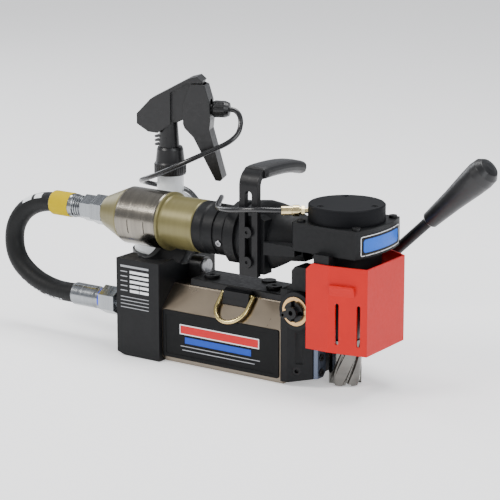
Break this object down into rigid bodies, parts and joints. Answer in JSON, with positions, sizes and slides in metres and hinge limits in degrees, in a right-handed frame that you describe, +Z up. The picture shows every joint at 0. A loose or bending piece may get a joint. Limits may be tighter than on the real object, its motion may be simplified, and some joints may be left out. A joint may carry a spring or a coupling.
{
  "type": "low-profile pneumatic magnetic drill press",
  "caption": "Low-profile pneumatic magnetic drill press: magnet base, air motor on a rack-fed slide, annular cutter, chip guard, feed lever, air hose and coolant bottle.",
  "frame": {"origin": "middle of the magnet foot, on the work surface", "axes": "+X from the magnet towards the cutter, +Y towards the feed lever side, +Z up from the work surface"},
  "size_m": [0.5199, 0.1655, 0.25],
  "materials": {
    "shoulder_steel": "satin",
    "black_panel": "satin",
    "magnet_steel": "satin",
    "black_casting": "satin",
    "black_oxide": "satin",
    "zinc_yellow": "satin",
    "bronze": "satin",
    "steel": "satin",
    "blue_steel": "satin",
    "zinc": "satin",
    "olive_metal": "satin",
    "sleeve_steel": "satin",
    "brass": "polished",
    "black_alu": "satin",
    "red_plastic": "matte",
    "black_plastic": "matte",
    "grey_plastic": "gloss",
    "milk_plastic": "satin",
    "black_rubber": "satin",
    "vane_composite": "matte"
  },
  "bodies": {
    "root": {"magnet_body": "shoulder_steel", "side_plates": "black_panel", "top_plate": "black_oxide", "plate_screws": "black_oxide", "ring_bracket": "black_oxide", "valve_block": "black_alu", "valve_housing": "black_plastic", "slide_housing": "black_casting", "shaft_bushes": "bronze", "gib_plates": "blue_steel", "small_screws": "black_oxide", "lower_fitting": "zinc", "lower_ferrule": "zinc", "air_hose": "black_rubber", "coolant_tube": "black_rubber", "bottle": "milk_plastic", "bottle_collar": "black_plastic", "sprayer_body": "black_plastic", "nozzle_nut": "black_plastic", "dip_tube": "milk_plastic", "bottle_holder": "black_oxide"},
    "magnet": {"magnet_carriage": "magnet_steel"},
    "ring": {"lifting_ring": "zinc_yellow"},
    "button": {"valve_button": "grey_plastic"},
    "pinion": {"pinion_shaft": "black_oxide", "drive_dog": "black_oxide", "shaft_washer": "zinc"},
    "lever": {"lever_hub": "black_oxide", "lever_rod": "black_oxide", "lever_grip": "black_plastic"},
    "head": {"slide_bar": "steel", "gearbox_housing": "black_alu", "gearbox_cover": "black_alu", "cover_screws": "black_oxide", "top_cap": "black_alu", "cap_screws": "black_oxide", "chip_guard": "red_plastic", "guard_screws": "red_plastic", "reducer_case": "black_alu", "motor_barrel": "olive_metal", "motor_tail": "olive_metal", "motor_bearings": "steel", "spindle_bearings": "steel", "handle_bar": "black_oxide", "handle_grip": "black_rubber", "handle_screws": "black_oxide", "upper_fitting": "zinc", "upper_ferrule": "zinc", "coolant_coupler": "brass"},
    "coupler": {"coupler_sleeve": "brass"},
    "sleeve": {"throttle_sleeve": "sleeve_steel"},
    "rotor": {"motor_rotor": "steel", "rotor_vanes": "vane_composite"},
    "spindle_unit": {"spindle": "steel", "bevel_gear": "steel", "annular_cutter": "steel", "cutter_screws": "black_oxide", "pilot_spring": "steel"},
    "pilot": {"pilot_pin": "steel"},
    "trigger": {"sprayer_trigger": "black_plastic"}
  },
  "joints": [
    {"name": "magnet_travel", "type": "slide", "parent": "root", "child": "magnet", "axis": [1, 0, 0], "range_m": [0, 0.008]},
    {"name": "ring_hinge", "type": "hinge", "parent": "root", "child": "ring", "pos_m": [0.022, -0.024, 0.073], "axis": [-1, 0, 0], "range_deg": [0, 65]},
    {"name": "valve_push", "type": "slide", "parent": "root", "child": "button", "axis": [-1, 0, 0], "range_m": [0, 0.003], "stiffness_N_per_m": 600, "springref_m": -0.002},
    {"name": "pinion_turn", "type": "hinge", "parent": "root", "child": "pinion", "pos_m": [0.0978, 0, 0.0729], "axis": [0, 1, 0], "range_deg": [-215, 62]},
    {"name": "lever_swing", "type": "hinge", "parent": "root", "child": "lever", "pos_m": [0.0978, 0, 0.0729], "axis": [0, 1, 0], "range_deg": [-55, 55]},
    {"name": "feed_slide", "type": "slide", "parent": "root", "child": "head", "axis": [0, 0, 1], "range_m": [-0.008, 0.028], "deforming": ["air_hose", "coolant_tube"]},
    {"name": "coupler_slide", "type": "slide", "parent": "head", "child": "coupler", "axis": [0.8192, 0.5736, 0], "range_m": [0, 0.0014], "stiffness_N_per_m": 500, "springref_m": -0.001},
    {"name": "throttle_turn", "type": "hinge", "parent": "head", "child": "sleeve", "pos_m": [-0.097, 0, 0.1255], "axis": [1, 0, 0], "range_deg": [0, 45]},
    {"name": "spindle_spin", "type": "hinge", "parent": "head", "child": "spindle_unit", "pos_m": [0.1244, 0, 0.09], "axis": [0, 0, 1], "continuous": true},
    {"name": "rotor_spin", "type": "hinge", "parent": "head", "child": "rotor", "pos_m": [-0.052, 0, 0.1255], "axis": [1, 0, 0], "continuous": true},
    {"name": "pilot_slide", "type": "slide", "parent": "spindle_unit", "child": "pilot", "axis": [0, 0, 1], "range_m": [0, 0.012], "stiffness_N_per_m": 300, "springref_m": -0.004, "deforming": ["pilot_spring"]},
    {"name": "trigger_pull", "type": "hinge", "parent": "root", "child": "trigger", "pos_m": [-0.10689, 0.08674, 0.238], "axis": [-0.3746, 0.9272, 0], "range_deg": [0, 17], "stiffness_Nm_per_rad": 1, "springref_deg": -6.88}
  ],
  "couplings": [
    {"joint": "pinion_turn", "follows": "feed_slide", "rad_per_m": -133.33},
    {"joint": "rotor_spin", "follows": "spindle_spin", "ratio": 3}
  ]
}
